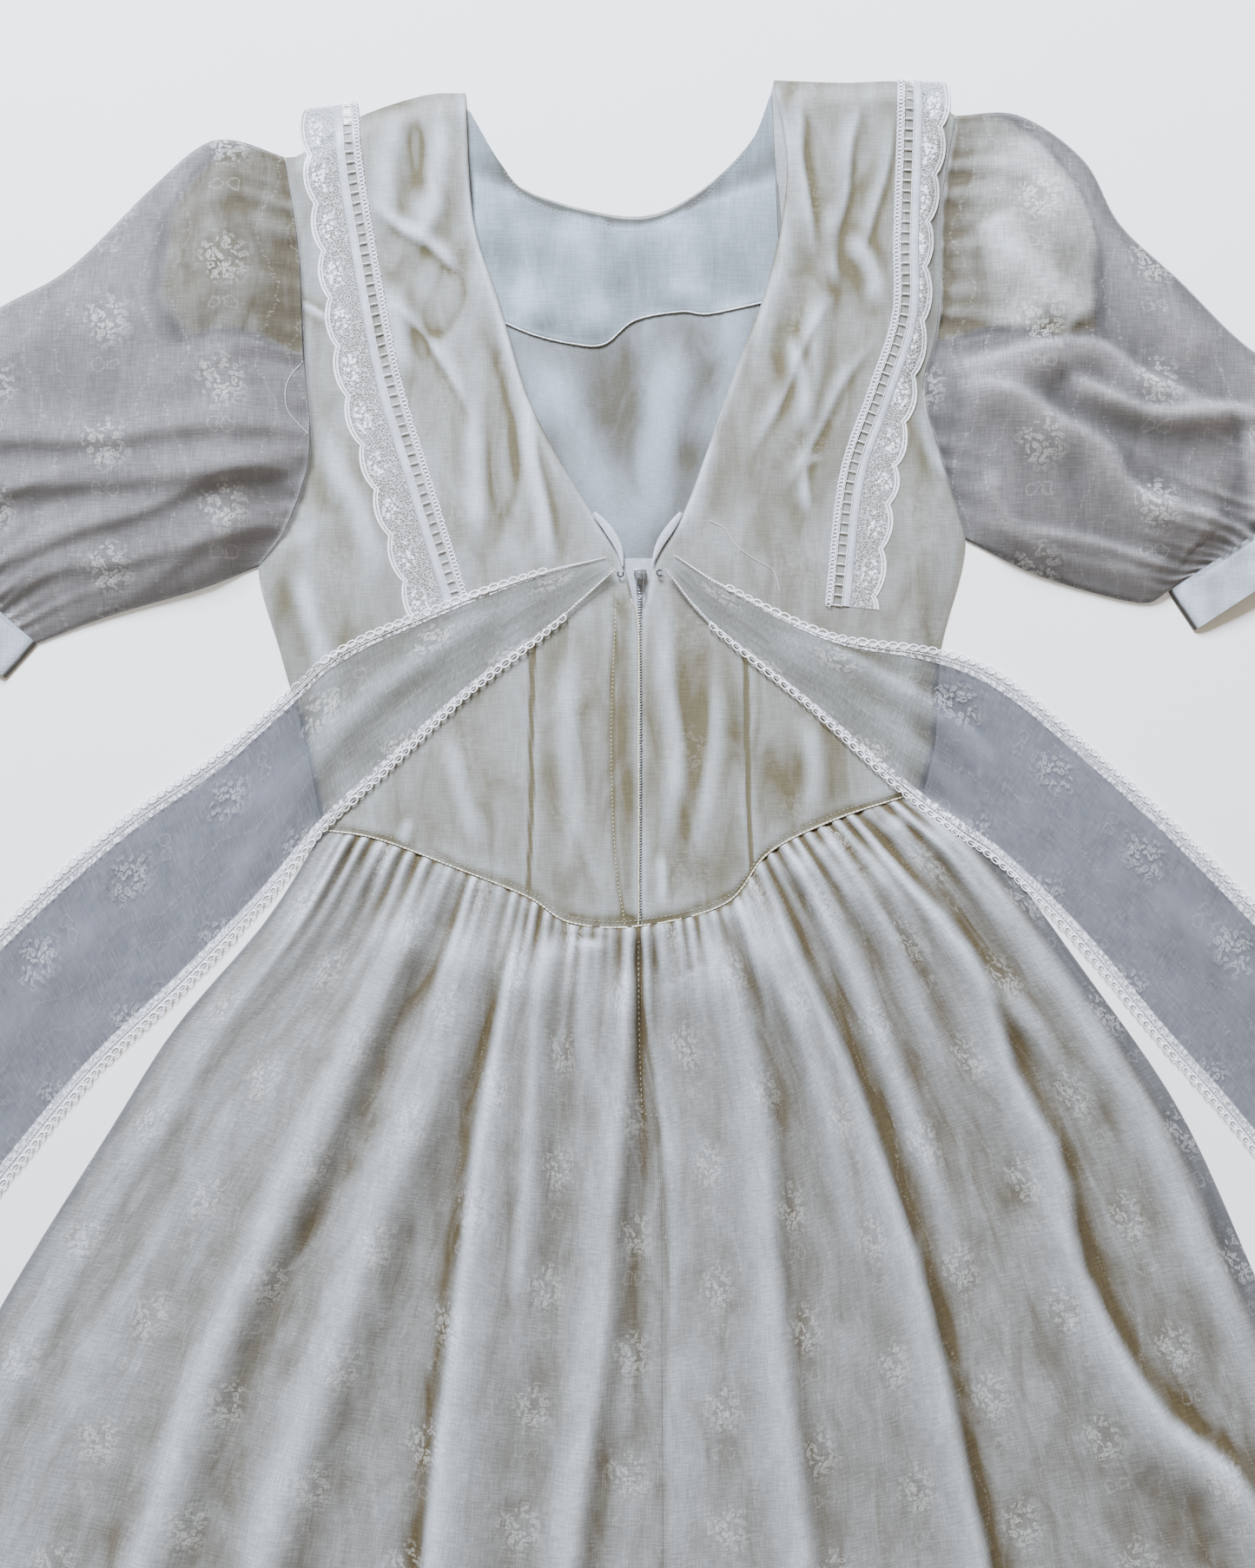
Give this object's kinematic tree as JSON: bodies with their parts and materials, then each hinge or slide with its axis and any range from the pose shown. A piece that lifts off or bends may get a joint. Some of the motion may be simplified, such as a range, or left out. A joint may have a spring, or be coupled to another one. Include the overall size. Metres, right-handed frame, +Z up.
{
  "type": "dress",
  "caption": "Cream voile dress laid flat with its back up: deep V back, puffed sleeves, lace trims, curved dropped waist, gathered skirt and sash ties.",
  "frame": {"origin": "middle of the bounding box's underside, on the surface that the dress lies on", "axes": "+X to the right of the dress as it lies with its back up, +Y from the hem towards the neck, +Z up out of the surface"},
  "size_m": [1.234, 1.2898, 0.0307],
  "materials": {
    "bodice_voile": "matt cream cotton voile over an underlining, with a white self-coloured flower print",
    "skirt_voile": "sheer cream voile with a white flower print",
    "sleeve_voile": "sheer voile, greyer where nothing lies behind it",
    "sash_voile": "sheer voile, one layer",
    "ivory_lining": "smooth plain lining",
    "white_lining": "smooth cool white lining with a slight sheen",
    "white_facing": "plain white cotton",
    "cuff_cloth": "two layers of voile, pressed",
    "white_lace": "white cotton and nylon lace, ladder beading and braid",
    "zip_metal": "bright die-cast metal"
  },
  "bodies": {
    "dress": {"back_bodice_left": "bodice_voile", "back_bodice_right": "bodice_voile", "front_bodice": "bodice_voile", "front_skirt": "skirt_voile", "back_skirt_left": "skirt_voile", "back_skirt_right": "skirt_voile", "skirt_lining": "ivory_lining", "front_lining": "white_lining", "front_facing": "white_facing", "sleeve_left": "sleeve_voile", "sleeve_right": "sleeve_voile", "sleeve_head_left": "bodice_voile", "sleeve_head_right": "bodice_voile", "cuff_left": "cuff_cloth", "cuff_right": "cuff_cloth", "beading_left": "white_lace", "beading_right": "white_lace", "shoulder_lace_left": "white_lace", "shoulder_lace_right": "white_lace", "sash_left": "sash_voile", "sash_right": "sash_voile", "sash_left_lace_upper": "white_lace", "sash_left_lace_lower": "white_lace", "sash_right_lace_upper": "white_lace", "sash_right_lace_lower": "white_lace", "zip_tape": "white_facing", "zip_slider": "zip_metal", "hook": "zip_metal", "eye": "zip_metal"},
    "zip_pull": {"zip_pull": "zip_metal"}
  },
  "joints": [
    {"name": "pull_tab_swing", "type": "hinge", "parent": "dress", "child": "zip_pull", "pos_m": [0.001, 0.3514, 0.00805], "axis": [-1, 0, 0], "range_deg": [0, 150]}
  ]
}
